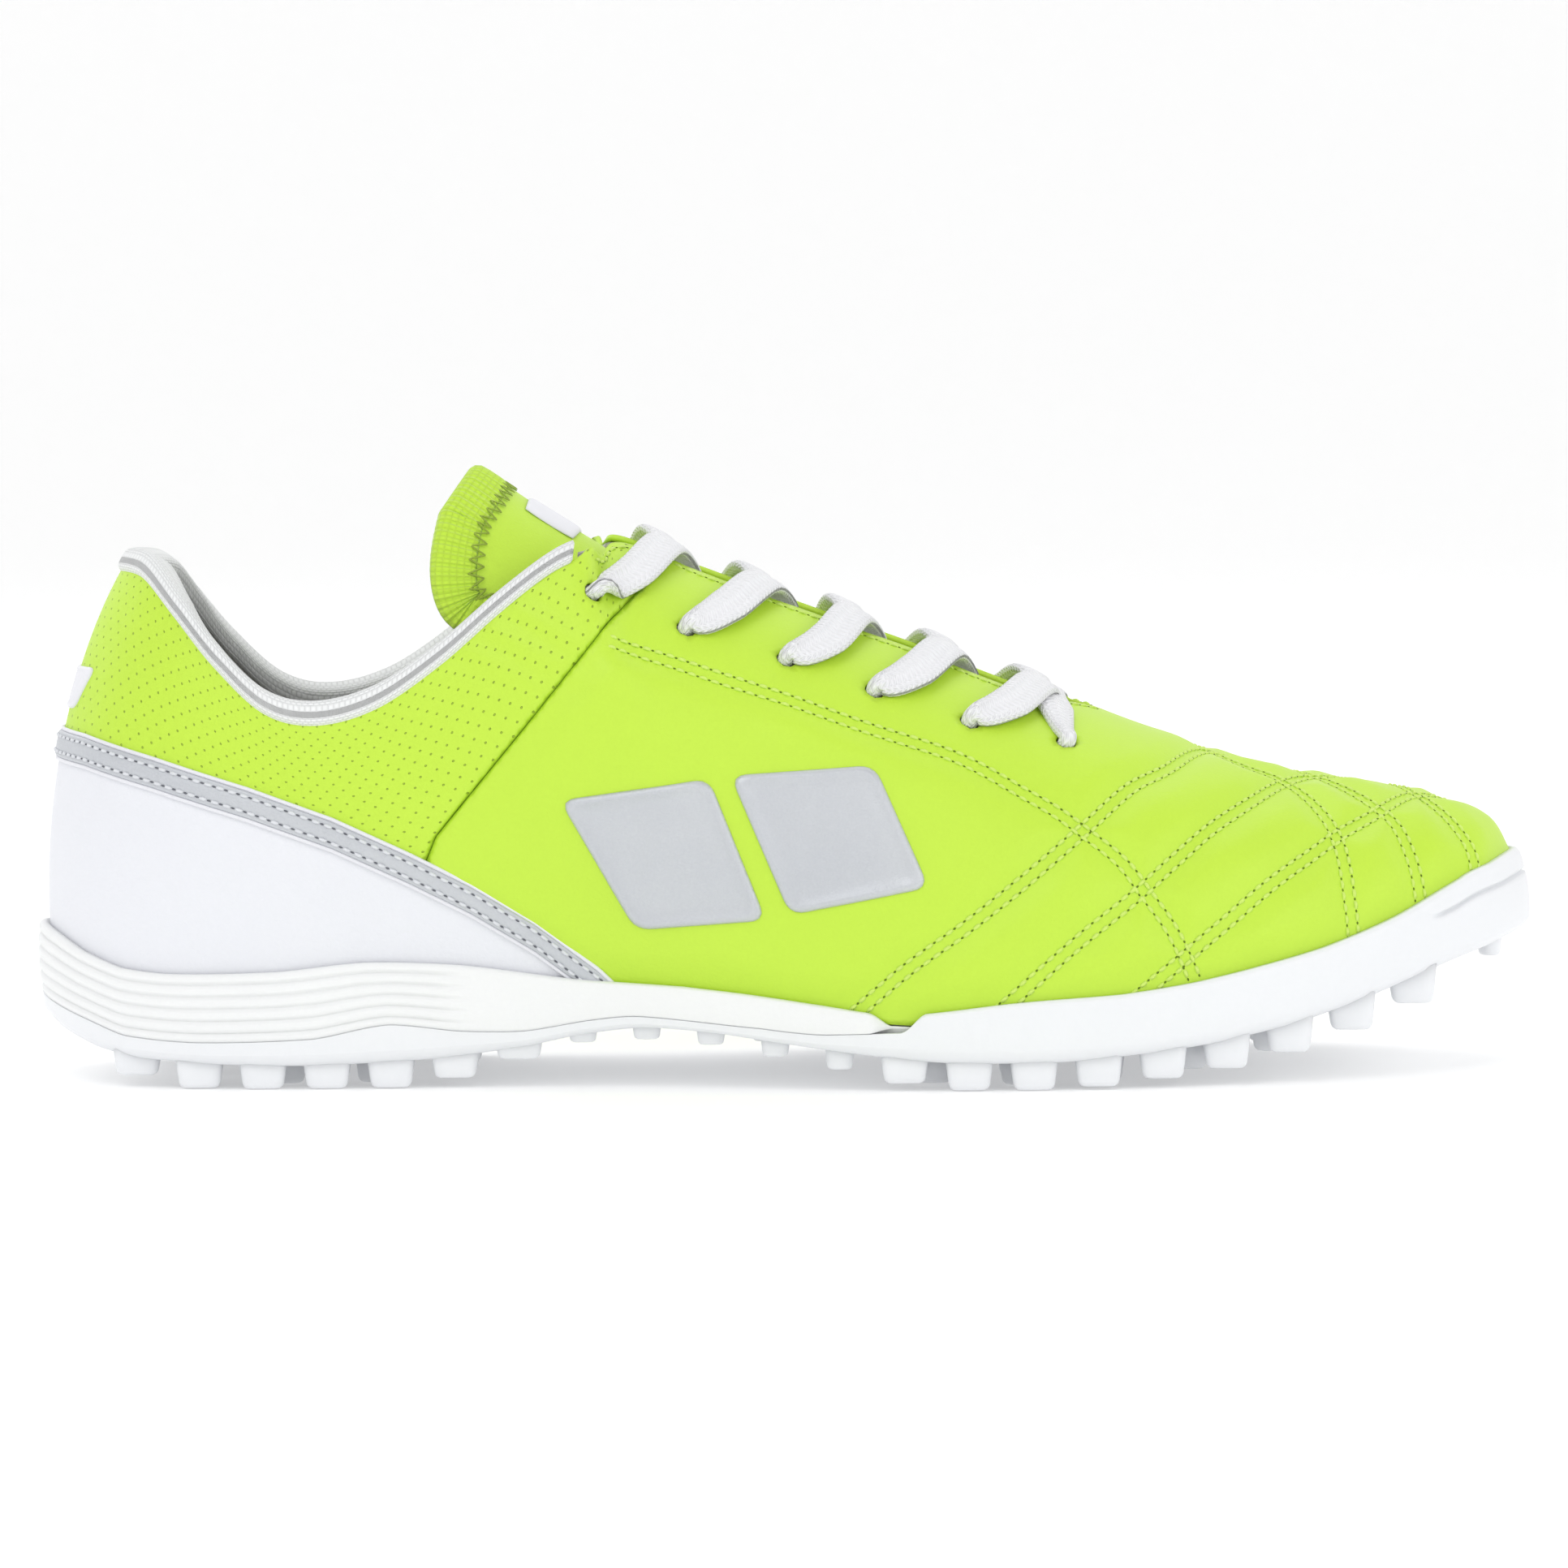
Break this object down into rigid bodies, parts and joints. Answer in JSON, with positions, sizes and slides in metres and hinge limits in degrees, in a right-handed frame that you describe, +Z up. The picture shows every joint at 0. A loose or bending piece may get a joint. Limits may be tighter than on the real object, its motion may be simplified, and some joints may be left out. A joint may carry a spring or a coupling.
{
  "type": "laced turf football shoe",
  "caption": "Right laced low turf football shoe: studded rubber sole, foam midsole, quilted coated upper, padded collar, knit-edged tongue, flat lace and removable sockliner.",
  "frame": {"origin": "middle of the whole shoe's box in plan, on the plane that the lowest lug tips stand on", "axes": "+X from heel to toe, -Y to the outer (lateral) side, +Y to the inner (medial) side, +Z up"},
  "size_m": [0.2872, 0.1006, 0.1164],
  "materials": {
    "rubber_white": "matte, slightly translucent",
    "foam_white": "matte moulded foam",
    "board": "pressed fibre",
    "sockliner": "brushed textile over foam",
    "upper_lime": "coated synthetic, soft sheen",
    "upper_white": "coated synthetic, soft sheen",
    "lining_mesh": "warm grey mesh",
    "padding": "open foam",
    "binding_grey": "folded knitted tape",
    "trim_silver": "silver foil, fine grain",
    "badge_white": "printed film",
    "knit_lime": "ribbed elastic knit",
    "lace_white": "flat woven",
    "aglet_clear": "clear film tip"
  },
  "bodies": {
    "shoe": {"outsole": "rubber_white", "midsole": "foam_white", "insole_board": "board", "sockliner_front": "sockliner", "vamp": "upper_lime", "ankle_quarter_lateral": "upper_lime", "ankle_quarter_medial": "upper_lime", "heel_overlay": "upper_white", "vamp_lining": "lining_mesh", "collar_lining": "lining_mesh", "collar_foam": "padding", "collar_binding": "binding_grey", "heel_stiffener": "board", "toe_puff": "board", "eyestay_backing_lateral": "board", "eyestay_backing_medial": "board", "heel_trim_band": "trim_silver", "side_badge_rear_lateral": "trim_silver", "side_badge_front_lateral": "trim_silver", "side_badge_rear_medial": "trim_silver", "side_badge_front_medial": "trim_silver", "heel_badge": "badge_white", "tongue_face_lower": "upper_lime", "tongue_foam_lower": "padding", "tongue_lining_lower": "lining_mesh", "tongue_lace_loop": "knit_lime", "lace": "lace_white", "aglet_lateral": "aglet_clear", "aglet_medial": "aglet_clear"},
    "tongue_top": {"tongue_face_upper": "upper_lime", "tongue_foam_upper": "padding", "tongue_lining_upper": "lining_mesh", "tongue_edge_knit": "knit_lime", "tongue_badge": "badge_white"},
    "sockliner_heel": {"sockliner_rear": "sockliner"}
  },
  "joints": [
    {"name": "tongue_flap", "type": "hinge", "parent": "shoe", "child": "tongue_top", "pos_m": [-0.03325, 0, 0.101], "axis": [0, 1, 0], "range_deg": [0, 40], "stiffness_Nm_per_rad": 0.05},
    {"name": "sockliner_lift", "type": "hinge", "parent": "shoe", "child": "sockliner_heel", "pos_m": [0.00575, 0, 0.0195], "axis": [0, 1, 0], "range_deg": [0, 12]}
  ]
}
